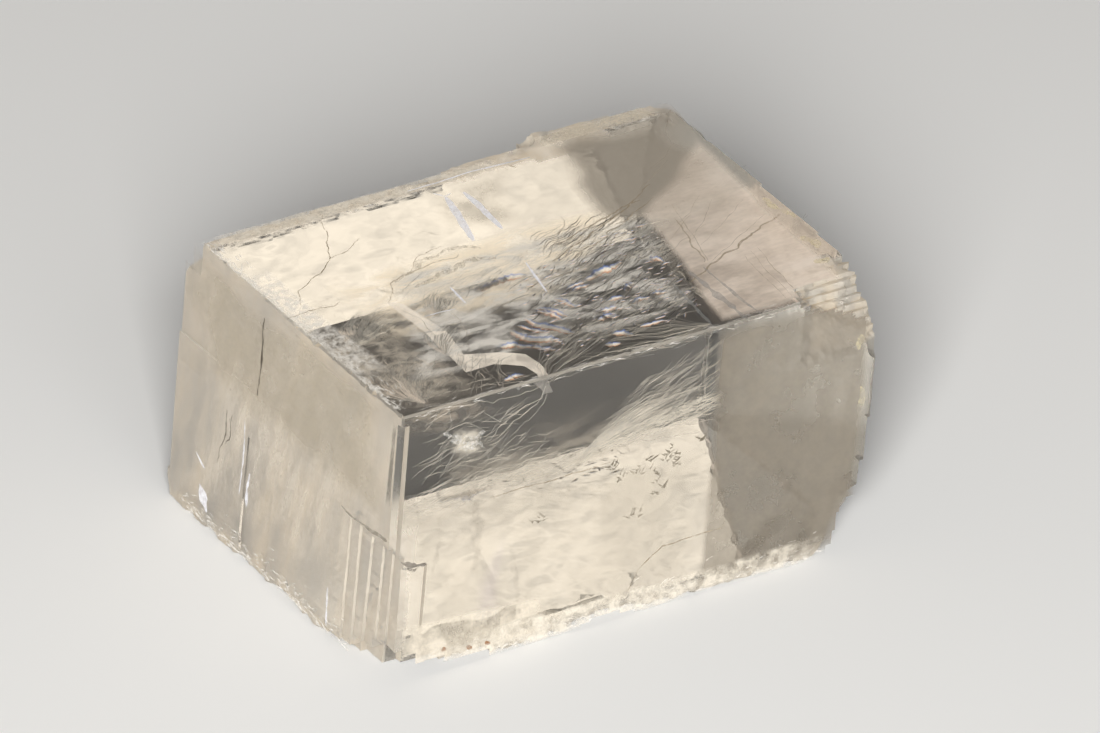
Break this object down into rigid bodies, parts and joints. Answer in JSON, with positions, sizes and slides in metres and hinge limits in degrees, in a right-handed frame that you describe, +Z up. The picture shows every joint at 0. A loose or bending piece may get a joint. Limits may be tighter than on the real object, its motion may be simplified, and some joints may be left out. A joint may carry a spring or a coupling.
{
  "type": "calcite cleavage rhomb",
  "caption": "Clear natural calcite rhomb, a slanted block with flat cleavage faces, a stepped corner and chipped edges.",
  "frame": {"origin": "centre of the underside of the bounding box, on the surface that the crystal rests on", "axes": "+X along the long edges, +Y from the front face to the back face, +Z up, square to the two large cleavage faces"},
  "size_m": [0.0862, 0.0584, 0.0359],
  "materials": {
    "calcite": "clear, warm tinted natural mineral with hazy, slightly striated cleavage faces"
  },
  "bodies": {
    "root": {"crystal": "calcite"}
  },
  "joints": []
}
